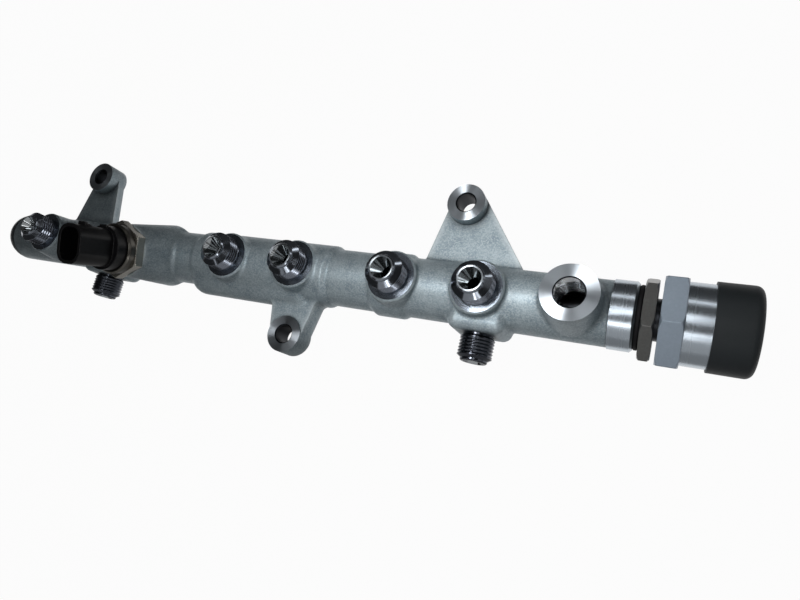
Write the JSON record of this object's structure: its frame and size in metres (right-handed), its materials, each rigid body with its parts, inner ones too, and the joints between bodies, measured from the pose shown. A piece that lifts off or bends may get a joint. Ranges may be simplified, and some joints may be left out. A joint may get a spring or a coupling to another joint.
{
  "type": "fuel rail",
  "caption": "Forged fuel rail with threaded pipe outlets, side pump connections, a return port, bolt lugs, a pressure sensor and a pressure control valve.",
  "frame": {"origin": "middle bolt hole, on the face of its pad", "axes": "+X along the rail from the closed end to the valve, +Z the way the pipe outlets point, +Y towards the side with two bolt lugs"},
  "size_m": [0.4303, 0.0962, 0.085],
  "materials": {
    "forged_steel": "zinc-plated shot-blasted forging with machined steel faces",
    "sensor_steel": "turned stainless steel",
    "crimp_ring": "dark passivated ring",
    "black_plastic": "moulded black plastic with a low sheen",
    "cap_plastic": "moulded charcoal plastic",
    "turned_steel": "bright turned steel with a blasted hexagon",
    "dark_nut": "dark olive passivated steel",
    "black_rubber": "plain rubber",
    "hard_steel": "ground hardened steel",
    "spool_plastic": "moulded spool",
    "copper": "copper wire",
    "circuit_board": "green board",
    "contacts": "tinned contact strip"
  },
  "bodies": {
    "rail": {"rail_body": "forged_steel", "sensor_port": "sensor_steel", "sensor_cell": "hard_steel", "sensor_board": "circuit_board", "sensor_ring": "crimp_ring", "sensor_seal": "black_rubber", "sensor_housing": "black_plastic", "valve_body": "turned_steel", "valve_seal_ring": "black_rubber", "valve_o_ring": "black_rubber", "lock_nut": "dark_nut", "valve_seat": "hard_steel", "armature_spring": "hard_steel", "coil_bobbin": "spool_plastic", "coil_winding": "copper", "end_plate": "hard_steel", "valve_cap": "cap_plastic", "valve_pin_1": "contacts", "valve_pin_2": "contacts", "sensor_pin_1": "contacts", "sensor_pin_2": "contacts", "sensor_pin_3": "contacts"},
    "armature": {"valve_ball": "hard_steel", "valve_plunger": "hard_steel", "armature_plate": "hard_steel"}
  },
  "joints": [
    {"name": "armature_slide", "type": "slide", "parent": "rail", "child": "armature", "axis": [1, 0, 0], "range_m": [0, 0.0004], "stiffness_N_per_m": 1500, "springref_m": -0.004, "deforming": ["armature_spring"]}
  ]
}
